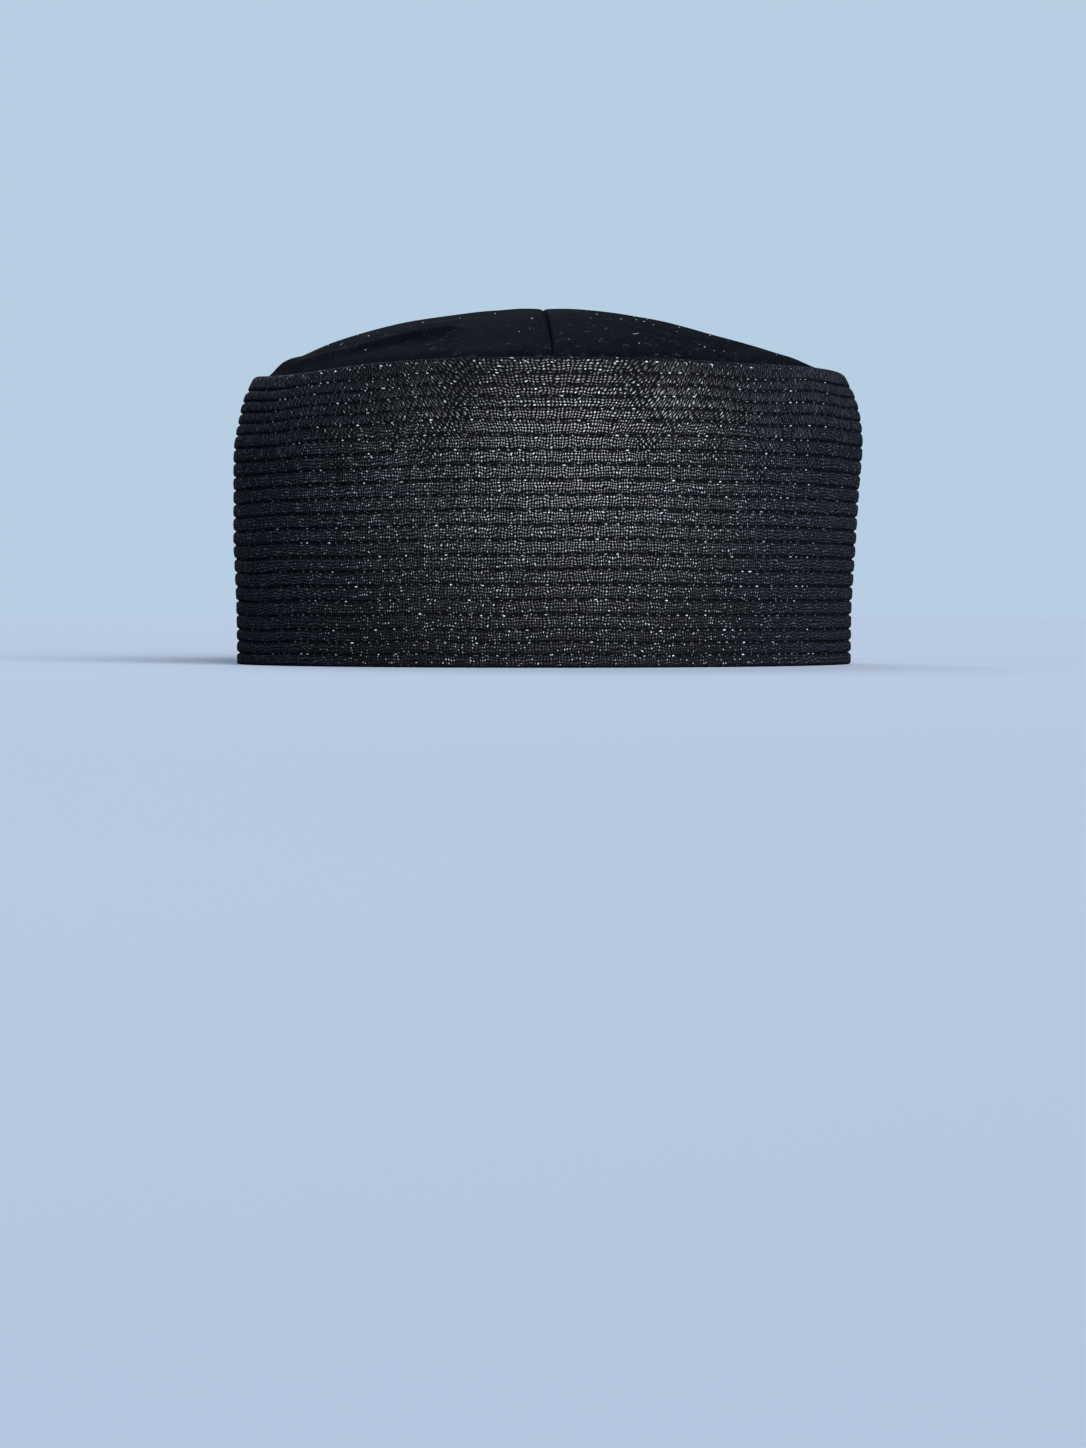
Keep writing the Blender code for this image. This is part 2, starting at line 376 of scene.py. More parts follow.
@dataclass(frozen=True)
class Unevenness:
    """Gentle waves of the cloth that close on themselves round the cap.

    Attributes:
        seed: Picks one set of waves.
        round_counts: Fewest and most waves round the cap.
        up_counts: Fewest and most waves over a unit of the other direction.
        waves: How many waves are added up.
    """

    seed: int
    round_counts: tuple[int, int]
    up_counts: tuple[float, float]
    waves: int = 14

    def at(self, azimuth: np.ndarray, up: np.ndarray) -> np.ndarray:
        """The waves' height, which mostly stays between -1 and 1.

        Args:
            azimuth: Angles round the cap.
            up: Places in the other direction.

        Returns:
            The height at each place.
        """
        chance = np.random.default_rng(self.seed)
        total = np.zeros(np.broadcast(azimuth, up).shape)
        for _ in range(self.waves):
            turns = int(chance.integers(self.round_counts[0], self.round_counts[1] + 1))
            rise = chance.uniform(*self.up_counts) * chance.choice((-1.0, 1.0))
            total += np.sin(turns * azimuth + math.tau * (rise * up + chance.random()))
        return total / math.sqrt(self.waves)


@dataclass(frozen=True)
class CapForm:
    """The cap's form, which its band, its stitches and its crown all follow.

    Attributes:
        half_width: Half the band's outside width at its widest.
        half_length: Half the band's outside length at its longest.
        band_height: From the rim to the band's top edge.
        crown_rise: From the band's top edge to the crown's middle.
        wall: Thickness of the band.
        crown_cloth: Thickness of the crown's cloth.
        tuck: How far the crown reaches down inside the band.
        seat_gap: Between the tuck and the inside of the band.
        groove_depth: How deep a row of stitching draws the cloth in.
        groove_unevenness: Share of that depth by which it varies.
        row_change: How much it varies from row to row, where 1 is as much as the puckers do.
        side_depth: Share of that depth which is added at the band's two sides.
        crease: Width of the sharp crease along a row.
        crease_share: Share of the depth that is crease. The rest rounds the rib.
        ripple: Height of the ribs' swells and puckers.
        set_in: How many ripples deep the cloth lies, so that few swells pass the smooth outside.
        row_wander: How far a row of stitching strays from level.
        fixed_share: Share of the band's height, at either end, over which rows stray less.
        slack_waves: Waves round the cap that a slack rib has.
        slack_depth: Share of its lift that those waves take away and add.
    """

    half_width: float
    half_length: float
    band_height: float
    crown_rise: float
    wall: float = 3.6 * MM
    crown_cloth: float = 1.6 * MM
    tuck: float = 12.0 * MM
    seat_gap: float = 0.5 * MM
    groove_depth: float = 0.58 * MM
    groove_unevenness: float = 0.30
    row_change: float = 0.35
    side_depth: float = 0.5
    crease: float = 0.36 * MM
    crease_share: float = 0.90
    ripple: float = 0.08 * MM
    set_in: float = 1.5
    row_wander: float = 0.20 * MM
    fixed_share: float = 0.06
    slack_waves: int = 75
    slack_depth: float = 0.35
    wander: Unevenness = Unevenness(seed=11, round_counts=(3, 14), up_counts=(0.0, 2.0))
    swell: Unevenness = Unevenness(seed=23, round_counts=(3, 16), up_counts=(0.0, 1.5))
    pull: Unevenness = Unevenness(seed=31, round_counts=(40, 110), up_counts=(2.0, 12.0))

    @classmethod
    def from_frame(cls) -> "CapForm":
        """Takes the cap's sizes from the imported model.

        Returns:
            The cap's form.
        """
        low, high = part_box("stitched_band")
        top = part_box("gore_front_left")[1][2]
        return cls(
            half_width=(high[0] - low[0]) / 2,
            half_length=(high[1] - low[1]) / 2,
            band_height=high[2],
            crown_rise=top - high[2],
        )

    @property
    def girth(self) -> float:
        """The length round the band's outside."""
        a, b = self.half_width, self.half_length
        return math.pi * (3 * (a + b) - math.sqrt((3 * a + b) * (a + 3 * b)))

    def grooves(self) -> np.ndarray:
        """Places the rows of stitching.

        Returns:
            Their height shares, from the rim to the top edge, both counted in.
        """
        heights = [0.0]
        for zone in STITCH_ZONES:
            start = heights[-1]
            heights += [start + zone.share * (i + 1) / zone.ribs for i in range(zone.ribs)]
        return np.array(heights) / heights[-1]

    def row_count(self, height: np.ndarray) -> np.ndarray:
        """Rows counted up from the rim, where a whole number is a row of stitching."""
        grooves = self.grooves()
        return np.interp(height, grooves, np.arange(len(grooves)))

    def edge_drop(self, azimuth: np.ndarray) -> np.ndarray:
        """How far the band's top edge sags."""
        drop = sum(dip.drop * bell(in_degrees(azimuth) - dip.azimuth, dip.spread) for dip in EDGE_DIPS)
        return self.band_height * drop

    def band_point(self, inset: np.ndarray, height: np.ndarray, azimuth: np.ndarray) -> np.ndarray:
        """Places inset from the band's smooth outside.

        Args:
            inset: How far in from the outside.
            height: Height shares.
            azimuth: Angles round the cap.

        Returns:
            One row of X, Y and Z for each place.
        """
        across, along = read_sides(BAND_SECTIONS, height, azimuth)
        return np.stack(
            (
                (self.half_width * across - inset) * np.sin(azimuth),
                -(self.half_length * along - inset) * np.cos(azimuth),
                self.band_height * height - self.edge_drop(azimuth) * height**2,
            ),
            axis=-1,
        )

    def wandered(self, height: np.ndarray, azimuth: np.ndarray) -> np.ndarray:
        """Height shares moved as the sewn rows stray up and down, but not at the rim or the top edge."""
        free = np.clip(height / self.fixed_share, 0, 1) * np.clip((1 - height) / self.fixed_share, 0, 1)
        return height + self.row_wander / self.band_height * free * self.wander.at(azimuth, height)

    def relief(self, height: np.ndarray, azimuth: np.ndarray) -> np.ndarray:
        """How far the ribbed cloth lies inside the smooth outside.

        Args:
            height: Height shares before the rows stray.
            azimuth: Angles round the cap.

        Returns:
            The inset at each place.
        """
        grooves = self.grooves()
        rows = self.row_count(height)
        nearest = np.clip(np.round(rows), 0, len(grooves) - 1).astype(int)
        from_row = np.abs(height - grooves[nearest]) * self.band_height
        across_rib = np.abs(2 * (rows - np.floor(rows)) - 1)
        is_sewn = (nearest > 0) & (nearest < len(grooves) - 1)
        uneven = self.groove_unevenness * self.pull.at(azimuth, self.row_change * rows)
        depth = self.groove_depth * (1 + uneven + self.side_depth * np.sin(azimuth) ** 8)
        crease = self.crease_share * bell(from_row, self.crease)
        drawn_in = np.where(is_sewn, crease + (1 - self.crease_share) * across_rib**2, 0.0)
        swell = self.ripple * (self.set_in + self.swell.at(azimuth, height))
        pucker = self.ripple * self.pull.at(azimuth, rows) * (1 - across_rib**2)
        return depth * drawn_in + swell + pucker - self.slack(height, azimuth)

    def slack(self, height: np.ndarray, azimuth: np.ndarray) -> np.ndarray:
        """How far slack ribs stand out, in uneven waves.

        Args:
            height: Height shares.
            azimuth: Angles round the cap.

        Returns:
            How far the cloth stands out at each place.
        """
        total = np.zeros(np.broadcast(height, azimuth).shape)
        for rib in SLACK_RIBS:
            up = (height - rib.height) * self.band_height
            turned = in_degrees(azimuth) - rib.azimuth
            total += rib.lift * MM * bell(turned, rib.spread) * bell(up, rib.width * MM)
        return total * (1 - self.slack_depth + self.slack_depth * np.sin(self.slack_waves * azimuth))


class Gore(Enum):
    """The four gores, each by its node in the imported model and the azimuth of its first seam, in degrees."""

    FRONT_LEFT = ("gore_front_left", -90.0)
    FRONT_RIGHT = ("gore_front_right", 0.0)
    BACK_RIGHT = ("gore_back_right", 90.0)
    BACK_LEFT = ("gore_back_left", 180.0)

    @property
    def node(self) -> str:
        """The name of the gore's node."""
        return self.value[0]

    @property
    def first_seam(self) -> float:
        """The azimuth of the gore's first seam."""
        return math.radians(self.value[1])


@dataclass(frozen=True)
class BandCotton:
    """Black cotton and polyester union cloth in a plain weave, pressed flat and sewn through in rows.

    Its filling threads are smooth, so where one lies on top it gives a small grey glint under a lamp, while
    the cotton between the glints stays black. Its colours also hold painted light: a pale painted glint on the
    tops of the tightest threads, which fades at the sides, painted sheen that lightens the threads at the two
    sides, and painted shade between the threads, on the rows of stitching and on the rolled hem. Each ramp
    says which number it follows: a height from 0 for the gap between threads to 1 for the top of a tight one,
    a row counted up from the rim, or the turn aside, which is 0 at the front and the back and 1 at the two
    sides.
    """

    name: str = "black_union_cotton"
    # painted shade: the colour between threads, on the rows of stitching and on the rolled hem
    gap_shade: str = "#07080A"
    thread: str = "#131418"
    # painted sheen: the threads' lighter colour at the band's two sides
    thread_side_sheen: str = "#262A33"
    # painted glint: the pale colour of the tops of the tightest threads
    glint_thread: str = "#94969D"
    thread_pitch: float = 0.86 * MM  # the real threads lie closer still, which is too fine to show
    thread_height: float = 0.15 * MM
    on_top: Ramp = Ramp(0.22, 0.66)  # height: where a thread hides the gap
    painted_glint: Ramp = Ramp(0.86, 0.98)  # height: where a painted glint lightens it
    side_sheen: Ramp = Ramp(0.50, 0.90)  # turn aside: where painted sheen lightens the threads and the painted glint fades
    glint_aside: Ramp = Ramp(0.0, 1.0, 1.0, 0.12)  # side sheen: how much of the painted glint still shows
    cotton_roughness: float = 0.9
    gloss_roughness: float = 0.46
    proud: Ramp = Ramp(0.80, 0.95, 0.04, 0.60)  # tension of a crossing: gloss kept at a full slant
    slanted: Ramp = Ramp(0.10, 0.62, 1.0)  # slant: how much gloss fibres that stand before the threads leave
    pressed: Ramp = Ramp(0.0, 13.0, 0.16, 1.0)  # row: less gloss near the rim
    drawn_in: Ramp = Ramp(15.0, 22.0, 1.0, 0.55)  # row: less gloss near the top edge
    drift: float = 1.7 * MM
    drifts: Clouds = Clouds(1 / (3.4 * MM), detail=1.5, dimensions="2D")
    lean: Ramp = Ramp(60.0 * MM, 82.0 * MM, 0.0, 15.0 * MM)  # metres up the cloth: how far threads have leant
    lean_way: Ramp = Ramp(-0.35, 0.35, -1.0, 1.0)  # turn to the left: which way they lean
    streak_patches: Clouds = Clouds(0.28, dimensions="2D")
    streak_spread: float = 14.0  # rows by which the patches lift or lower the streaks
    streaked: Ramp = Ramp(21.0, 25.0, 0.0, 0.7)  # row, with that spread: how much upright threads stand out
    streaked_aside: Ramp = Ramp(0.15, 0.35)  # turn aside: where they do
    upright_over: float = 0.85  # how surely an upright thread lies on top there
    crossing: Ramp = Ramp(0.6, 2.0)  # roundness and order of a thread, added up: its height
    tightness: Ramp = Ramp(0.0, 1.0, 0.50, 1.0)  # tension of a crossing: how high it lies
    pulls: Clouds = Clouds(1.5, roughness=0.6, dimensions="2D")
    slacks: Clouds = Clouds(0.07, detail=1.0, dimensions="2D")
    widest: Ramp = Ramp(0.35, 0.65, 0.15, 0.30)  # slack: how far a row's painted shade reaches at most, in rows
    reach: Ramp = Ramp(0.36, 0.62, 0.08)  # pull: how far it reaches
    unbroken: Ramp = Ramp(0.30, 0.62, 0.25, -0.10)  # turn aside: how far a row without pull is closed up
    closed: Ramp = Ramp(0.36, 0.48, end=0.0)  # pull: how far a row is closed up
    clear: Ramp = Ramp(0.04, start=0.05)  # distance from a row: where the cloth is open
    above_hem: Ramp = Ramp(0.10, 0.30)  # row: where the painted shade of the rolled hem ends

    def material(self, form: CapForm) -> bpy.types.Material:
        """Makes the cloth.

        Args:
            form: The cap's form, whose girth a whole number of threads has to fill.

        Returns:
            The material.
        """
        nodes = MaterialNodes(self.name)
        cloth = nodes.uv(WEAVE_MAP)
        rows = nodes.uv(ROWS_MAP)
        leftward = nodes.math("SINE", nodes.math("MULTIPLY", nodes.split(cloth)[0], math.tau / form.girth))
        aside = nodes.math("ABSOLUTE", leftward)
        pitch = form.girth / round(form.girth / self.thread_pitch)
        threads = self.threads(nodes, self.before_leaning(nodes, cloth, leftward), pitch)
        tension = self.tension(nodes, threads)
        height = self.weave(nodes, threads, tension, self.streaks(nodes, rows, aside))
        # Where shown is low, the gap colour paints shade between threads, on the rows and on the rolled hem.
        shown = nodes.math("MULTIPLY", nodes.ease(height, self.on_top), self.open_cloth(nodes, rows, aside))
        # Painted sheen lightens the threads at the sides, and a painted glint lightens the tops of the
        # tightest threads, less at the sides.
        side_sheen = nodes.ease(aside, self.side_sheen)
        glint_left = nodes.follow(side_sheen, self.glint_aside)
        painted_glint = nodes.math("MULTIPLY", nodes.ease(height, self.painted_glint), glint_left)
        thread = nodes.mix(painted_glint, nodes.mix(side_sheen, self.thread, self.thread_side_sheen), self.glint_thread)
        bump = nodes.bump(height, self.thread_height, 1.0)
        return nodes.surface(
            {
                "Base Color": nodes.mix(shown, self.gap_shade, thread),
                "Roughness": self.cotton_roughness,
                "Normal": bump,
                "IOR": 1.5,
                "Specular IOR Level": 0.02,
                "Coat Weight": nodes.math("MULTIPLY", self.gloss(nodes, rows, tension), shown),
                "Coat Roughness": self.gloss_roughness,
                "Coat IOR": 1.86,
                "Coat Normal": bump,
            }
        )

    def gloss(self, nodes: MaterialNodes, rows: Socket, tension: Socket) -> Socket:
        """Glosses the threads, less so at a slant, where fibres stand before them, and near both edges.

        Args:
            nodes: The material.
            rows: Stitches counted along, and rows counted up.
            tension: How tight each crossing is. The tightest stand proud of the fibres.

        Returns:
            The share of gloss.
        """
        slant = add_node(nodes.tree, "ShaderNodeLayerWeight", {}, {"Blend": 0.5}).outputs["Facing"]
        clear = nodes.ease(slant, self.slanted._replace(end=nodes.ease(tension, self.proud)))
        row = nodes.split(rows)[1]
        flat = nodes.math("MULTIPLY", nodes.ease(row, self.pressed), nodes.ease(row, self.drawn_in))
        return nodes.math("MULTIPLY", clear, flat)

    def before_leaning(self, nodes: MaterialNodes, cloth: Socket, leftward: Socket) -> Socket:
        """Leans the upright threads outwards near the band's top edge, except at the front and the back.

        Args:
            nodes: The material.
            cloth: The place on the cloth, in metres.
            leftward: How far the place is turned to the left, and negative to the right.

        Returns:
            The place on the cloth before it leant.
        """
        along, up = nodes.split(cloth)
        way = nodes.follow(leftward, self.lean_way)
        return nodes.join(nodes.math("MULTIPLY_ADD", way, nodes.follow(up, self.lean), along), up)

    def streaks(self, nodes: MaterialNodes, rows: Socket, aside: Socket) -> Socket:
        """Tells where upright threads stand out: on the upper ribs, away from the front.

        Args:
            nodes: The material.
            rows: Stitches counted along, and rows counted up.
            aside: The turn aside.

        Returns:
            How much they stand out, where 1 hides the threads that cross them.
        """
        patches = nodes.clouds(rows, self.streak_patches)
        level = nodes.math("MULTIPLY_ADD", patches, self.streak_spread, nodes.split(rows)[1])
        beside = nodes.ease(aside, self.streaked_aside)
        return nodes.math("MULTIPLY", nodes.ease(level, self.streaked), beside)

    def threads(self, nodes: MaterialNodes, cloth: Socket, pitch: float) -> Socket:
        """Counts threads along and across the cloth, where the weave has drifted out of square.

        Args:
            nodes: The material.
            cloth: The place on the cloth, in metres.
            pitch: The distance between threads.

        Returns:
            The thread count in both directions.
        """
        centred = nodes.vectors("SUBTRACT", {0: nodes.clouds(cloth, self.drifts, "Color"), 1: (0.5,) * 3})
        drifted = nodes.vectors("MULTIPLY_ADD", {0: centred, 1: (self.drift,) * 3, 2: cloth})
        return nodes.vectors("SCALE", {0: drifted, "Scale": 1 / pitch})

    def tension(self, nodes: MaterialNodes, threads: Socket) -> Socket:
        """Tells how tight each crossing of two threads is.

        Args:
            nodes: The material.
            threads: The thread count in both directions.

        Returns:
            A random number from 0 to 1 for each crossing.
        """
        crossing = nodes.vectors("FLOOR", {0: nodes.vectors("ADD", {0: threads, 1: (0.5, 0.5, 0.0)})})
        flat = {"noise_dimensions": "2D"}
        speckle = add_node(nodes.tree, "ShaderNodeTexWhiteNoise", flat, {"Vector": crossing})
        return speckle.outputs["Value"]

    def weave(self, nodes: MaterialNodes, threads: Socket, tension: Socket, streaks: Socket) -> Socket:
        """Draws a plain weave: each thread goes over one crossing thread and under the next.

        Args:
            nodes: The material.
            threads: The thread count in both directions.
            tension: How tight each crossing is.
            streaks: How much upright threads stand out.

        Returns:
            The height of the upper thread, which is lower at a slack crossing.
        """
        waves = nodes.vectors("COSINE", {0: nodes.vectors("SCALE", {0: threads, "Scale": math.pi})})
        upright, level = nodes.split(nodes.vectors("ABSOLUTE", {0: waves}))
        order = nodes.math("MULTIPLY", *nodes.split(waves))
        over = nodes.follow(streaks, Ramp(start=order, end=self.upright_over))
        warp = nodes.math("ADD", upright, over)
        filling = nodes.math("SUBTRACT", level, over)
        height = nodes.ease(nodes.math("MAXIMUM", warp, filling), self.crossing)
        return nodes.math("MULTIPLY", height, nodes.follow(tension, self.tightness))

    def open_cloth(self, nodes: MaterialNodes, rows: Socket, aside: Socket) -> Socket:
        """Tells the open cloth of the ribs from the rows of stitching, where it is drawn in and carries
        painted shade.

        Args:
            nodes: The material.
            rows: Stitches counted along, and rows counted up.
            aside: The turn aside.

        Returns:
            1 on a rib, and near 0 on a row and on the rolled hem, where the gap colour paints shade. A row is
            wider where a stitch pulls harder, and unbroken at the sides.
        """
        row = nodes.split(rows)[1]
        pull = nodes.clouds(rows, self.pulls)
        widest = nodes.follow(nodes.clouds(rows, self.slacks), self.widest)
        reach = nodes.follow(pull, self.reach._replace(end=widest))
        closed = nodes.follow(pull, self.closed._replace(start=nodes.ease(aside, self.unbroken)))
        apart = nodes.math("ADD", nodes.math("PINGPONG", row, 0.5), closed)
        clear = nodes.ease(apart, self.clear._replace(high=reach))
        return nodes.math("MULTIPLY", clear, nodes.ease(row, self.above_hem))


@dataclass(frozen=True)
class CrownCotton:
    """Navy-black brushed cotton of a fine, close weave, which takes light only along its raised edges."""

    name: str = "navy_black_brushed_cotton"
    cloth: str = "#030509"
    worn: str = "#05080D"
    hairline: str = "#262A32"
    sheen: str = "#8FA3C0"
    roughness: float = 0.70
    nap: Clouds = Clouds(1 / (1.1 * MM), detail=4.0, roughness=0.65)
    nap_height: float = 0.12 * MM
    handling: Clouds = Clouds(1 / (9 * MM), detail=6.0, distortion=1.4)
    handled: Ramp = Ramp(0.36, 0.66)  # handling: where the cloth is worn
    curls: Clouds = Clouds(1 / (4.5 * MM), detail=1.0, roughness=0.4, distortion=0.8)
    hair: Ramp = Ramp(0.003, 0.016, 1.0, 0.0)  # distance from the middle of the curls' range: on a hair
    breaks: Clouds = Clouds(1 / (3.2 * MM))
    unbroken: Ramp = Ramp(0.50, 0.62)  # breaks: where a hair isn't broken off

    def material(self) -> bpy.types.Material:
        """Makes the cloth, with fine curved hairs that lie on it in short lengths.

        Returns:
            The material.
        """
        nodes = MaterialNodes(self.name)
        place = nodes.place()
        worn = nodes.ease(nodes.clouds(place, self.handling), self.handled)
        away = nodes.math("ABSOLUTE", nodes.math("SUBTRACT", nodes.clouds(place, self.curls), 0.5))
        lengths = nodes.ease(nodes.clouds(place, self.breaks), self.unbroken)
        hairs = nodes.math("MULTIPLY", nodes.ease(away, self.hair), lengths)
        return nodes.surface(
            {
                "Base Color": nodes.mix(hairs, nodes.mix(worn, self.cloth, self.worn), self.hairline),
                "Roughness": self.roughness,
                "Normal": nodes.bump(nodes.clouds(place, self.nap), self.nap_height, 0.8),
                "IOR": 1.45,
                "Specular IOR Level": 0.0018,
                "Sheen Weight": 0.001,
                "Sheen Roughness": 0.4,
                "Sheen Tint": linear(self.sheen),
            }
        )


@dataclass(frozen=True)
class MottledFinish:
    """A finish whose two colours mix in soft patches.

    Attributes:
        name: The material's name.
        first: One colour.
        second: The other.
        patches: The patches.
        roughness: How rough the surface is.
        edge: How sharply the patches end, if not softly.
        shine: The shader's level of reflection, where 0.5 is a plain surface.
    """

    name: str
    first: str
    second: str
    patches: Clouds
    roughness: float
    edge: Ramp | None = None
    shine: float = 0.5

    def material(self) -> bpy.types.Material:
        """Makes the material.

        Returns:
            The material.
        """
        nodes = MaterialNodes(self.name)
        share = nodes.clouds(nodes.place(), self.patches)
        if self.edge:
            share = nodes.ease(share, self.edge)
        colour = nodes.mix(share, self.first, self.second)
        return nodes.surface(
            {"Base Color": colour, "Roughness": self.roughness, "Specular IOR Level": self.shine}
        )


# Spun polyester, fairly smooth. Its pale patches are a painted glint, which gives some stitches a bright
# point.
SEWING_THREAD = MottledFinish(
    name="black_polyester_thread",
    first="#0B0C0F",
    # the pale colour is a painted glint
    second="#A3A5AD",
    patches=Clouds(1 / (1.6 * MM)),
    roughness=0.40,
    edge=Ramp(0.50, 0.66),
    shine=0.6,
)
LINT = MottledFinish("pale_cotton_lint", "#5A606B", "#BFC3CA", Clouds(1 / (3 * MM)), roughness=0.9)
PAPER = MottledFinish("pale_studio_paper", "#8998A8", "#919DAA", Clouds(1.6), roughness=0.95)


def linked(name: str, data: bpy.types.ID) -> bpy.types.Object:
    """Makes an object at the origin.

    Args:
        name: The object's name.
        data: Its mesh, lamp or camera.

    Returns:
        The object, linked to the scene.
    """
    obj = bpy.data.objects.new(name, data)
    bpy.context.scene.collection.objects.link(obj)
    return obj


def dressed(name: str, data: bpy.types.Mesh, material: bpy.types.Material) -> bpy.types.Object:
    """Makes a smooth object from a mesh.

    Args:
        name: The object's name.
        data: The mesh.
        material: The object's material.

    Returns:
        The object, linked to the scene.
    """
    data.shade_smooth()
    data.materials.append(material)
    return linked(name, data)


def finished(name: str, mesh: bmesh.types.BMesh, material: bpy.types.Material) -> bpy.types.Object:
    """Turns a bmesh into a smooth object at the origin.

    Args:
        name: The object's name.
        mesh: The bmesh, which is freed.
        material: The object's material.

    Returns:
        The object, linked to the scene.
    """
    data = bpy.data.meshes.new(name)
    mesh.to_mesh(data)
    mesh.free()
    return dressed(name, data, material)


def face_up(mesh: bmesh.types.BMesh) -> None:
    """Turns a bmesh's faces over if they look down.

    Args:
        mesh: The bmesh.
    """
    mesh.normal_update()
    if sum(face.normal.z for face in mesh.faces) < 0:
        bmesh.ops.reverse_faces(mesh, faces=mesh.faces)


def points_of(obj: bpy.types.Object) -> np.ndarray:
    """Reads where a mesh object's vertices are.

    Args:
        obj: The object.

    Returns:
        One row of X, Y and Z for each vertex.
    """
    flat = np.empty(len(obj.data.vertices) * 3, np.float32)
    obj.data.vertices.foreach_get("co", flat)
    return flat.reshape(-1, 3).astype(float)


def place_points(obj: bpy.types.Object, points: np.ndarray) -> None:
    """Puts a mesh object's vertices in their places, one row each."""
    obj.data.vertices.foreach_set("co", points.astype(np.float32).ravel())
    obj.data.update()


def add_uv_map(obj: bpy.types.Object, name: str, along: np.ndarray, across: np.ndarray) -> None:
    """Gives a mesh object a UV map, from both coordinates of each corner of each face."""
    layer = obj.data.uv_layers.new(name=name)
    layer.uv.foreach_set("vector", np.stack((along, across), axis=-1).astype(np.float32).ravel())


@dataclass
class StitchedBand:
    """The band: a ribbed outside, a rounded top edge and a plain inside, in one strip.

    Attributes:
        form: The cap's form.
        steps: How many steps the strip has round the cap.
        rib_samples: Where a rib is cut, as shares of its height.
        facing_rows: Rows of faces up the inside.
        edge_round: Roundness of the top edge.
        hem_round: Roundness of the rolled lower edge.
        round_steps: Steps in which either is rounded.
    """

    form: CapForm
    steps: int = 440
    rib_samples: tuple[float, ...] = (0.0, 0.06, 0.14, 0.27, 0.50, 0.73, 0.86, 0.94)
    facing_rows: int = 14
    edge_round: float = 1.0 * MM
    hem_round: float = 0.9 * MM
    round_steps: int = 4

    def section(self) -> np.ndarray:
        """Draws the band's closed section.

        Returns:
            One row of inset and height share for each place on it.
        """
        hem = self.hem_round / self.form.band_height
        edge = self.edge_round / self.form.band_height
        grooves = self.form.grooves()
        ribs = [low + (high - low) * t for low, high in zip(grooves, grooves[1:]) for t in self.rib_samples]
        outer = [(0.0, share) for share in ribs if hem < share < 1 - edge]
        turns = [math.pi / 2 * i / self.round_steps for i in range(self.round_steps + 1)]
        lower = [(self.hem_round * (1 - math.sin(t)), hem * (1 - math.cos(t))) for t in turns]
        upper = [(self.edge_round * (1 - math.cos(t)), 1 - edge * (1 - math.sin(t))) for t in turns]
        wall = self.form.wall
        over = [(wall - self.edge_round / 2, 1.0), (wall, 1 - edge / 2)]
        facing = np.linspace(1 - 2 * edge, hem, self.facing_rows)
        inner = [(wall, share) for share in facing] + [(wall - self.hem_round, 0.0)]
        profile = lower + outer + upper + over + inner
        return np.array(profile + profile[:1])

    def build(self, material: bpy.types.Material) -> bpy.types.Object:
        """Wraps a flat strip of cloth round the cap and over its own edges, and joins it to itself.

        Args:
            material: The band's cloth.

        Returns:
            The band.
        """
        section = self.section()
        mesh = bmesh.new()
        bmesh.ops.create_grid(mesh, x_segments=self.steps, y_segments=len(section) - 1, size=0.5)
        band = finished("band_cloth", mesh, material)
        strip = points_of(band)[:, :2] + 0.5
        azimuth = strip[:, 0] * math.tau - math.pi
        place = np.round(strip[:, 1] * (len(section) - 1)).astype(int)
        self.unwrap(band, strip[:, 0], place, section)
        place_points(band, self.fitted(section[place, 0], section[place, 1], azimuth))
        joined = bmesh.new()
        joined.from_mesh(band.data)
        bmesh.ops.remove_doubles(joined, verts=joined.verts, dist=0.01 * MM)
        bmesh.ops.recalc_face_normals(joined, faces=joined.faces)
        joined.to_mesh(band.data)
        joined.free()
        return band

    def fitted(self, inset: np.ndarray, height: np.ndarray, azimuth: np.ndarray) -> np.ndarray:
        """Fits places of the section to the cap, with the ribs and the cloth's unevenness.

        Args:
            inset: How far in from the outside.
            height: Height shares.
            azimuth: Angles round the cap.

        Returns:
            One row of X, Y and Z for each place.
        """
        form = self.form
        outside = np.clip(1 - inset / (form.wall / 2), 0, 1)
        is_above_rim = height > self.hem_round / form.band_height / 2
        relief = form.relief(height, azimuth) * outside * is_above_rim
        strayed = np.where(outside > 0, form.wandered(height, azimuth), height)
        return form.band_point(inset + relief, strayed, azimuth)

    def unwrap(
        self, band: bpy.types.Object, turn: np.ndarray, place: np.ndarray, section: np.ndarray
    ) -> None:
        """Gives the band its two UV maps.

        Args:
            band: The band.
            turn: Where each vertex is round the cap from its back, as a share of the whole turn.
            place: Where each vertex is on the section, as a row number.
            section: The section.
        """
        form = self.form
        corners = np.empty(len(band.data.loops), np.int32)
        band.data.loops.foreach_get("vertex_index", corners)
        steps = np.diff(section * (1.0, form.band_height), axis=0)
        path = np.concatenate(((0.0,), np.cumsum(np.hypot(steps[:, 0], steps[:, 1]))))
        turn = turn[corners]
        add_uv_map(band, WEAVE_MAP, turn * form.girth, path[place[corners]])
        rows = np.minimum(form.row_count(section[place, 1]), len(form.grooves()) - 1.5)
        add_uv_map(band, ROWS_MAP, turn * STITCHES_PER_ROW, rows[corners])


